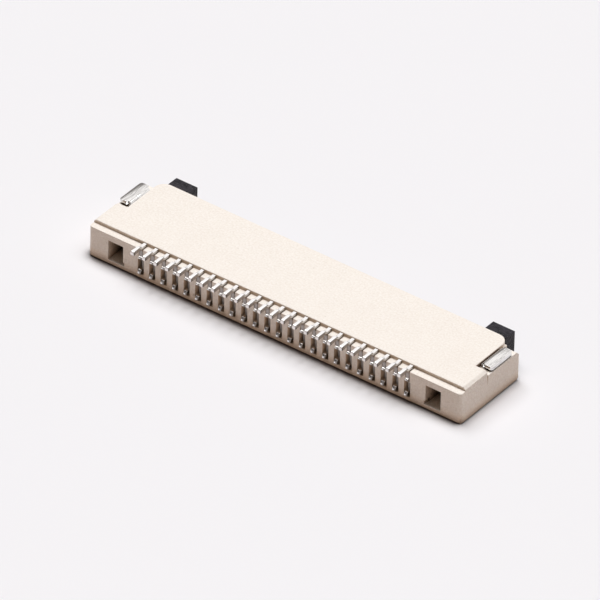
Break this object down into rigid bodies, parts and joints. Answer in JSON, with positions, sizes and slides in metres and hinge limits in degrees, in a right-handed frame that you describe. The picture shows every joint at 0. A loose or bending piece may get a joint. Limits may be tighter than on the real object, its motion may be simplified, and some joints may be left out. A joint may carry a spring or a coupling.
{
  "type": "fpc connector",
  "caption": "Low right-angle surface-mount socket for a flat flexible cable: pale housing, a row of stamped solder tails, two solder nails and a dark sliding lock.",
  "frame": {"origin": "centre of the bounding box in plan, on the cover face that the part lies on", "axes": "+X along the contact row, +Y the way the cable leaves and the slider opens, +Z out of the solder side"},
  "size_m": [0.0322, 0.0094, 0.0029],
  "materials": {
    "housing_plastic": "matt moulded, natural cream",
    "slider_plastic": "matt moulded, charcoal black",
    "nail_metal": "tin plated, bright with rolling streaks",
    "contact_metal": "tin plated, sheared edges"
  },
  "bodies": {
    "root": {"housing": "housing_plastic", "nail_left": "nail_metal", "nail_right": "nail_metal", "contact_01": "contact_metal", "contact_02": "contact_metal", "contact_03": "contact_metal", "contact_04": "contact_metal", "contact_05": "contact_metal", "contact_06": "contact_metal", "contact_07": "contact_metal", "contact_08": "contact_metal", "contact_09": "contact_metal", "contact_10": "contact_metal", "contact_11": "contact_metal", "contact_12": "contact_metal", "contact_13": "contact_metal", "contact_14": "contact_metal", "contact_15": "contact_metal", "contact_16": "contact_metal", "contact_17": "contact_metal", "contact_18": "contact_metal", "contact_19": "contact_metal", "contact_20": "contact_metal", "contact_21": "contact_metal", "contact_22": "contact_metal", "contact_23": "contact_metal", "contact_24": "contact_metal"},
    "slider": {"slider": "slider_plastic"}
  },
  "joints": [
    {"name": "slider_slide", "type": "slide", "parent": "root", "child": "slider", "axis": [0, 1, 0], "range_m": [0, 0.0013]}
  ]
}
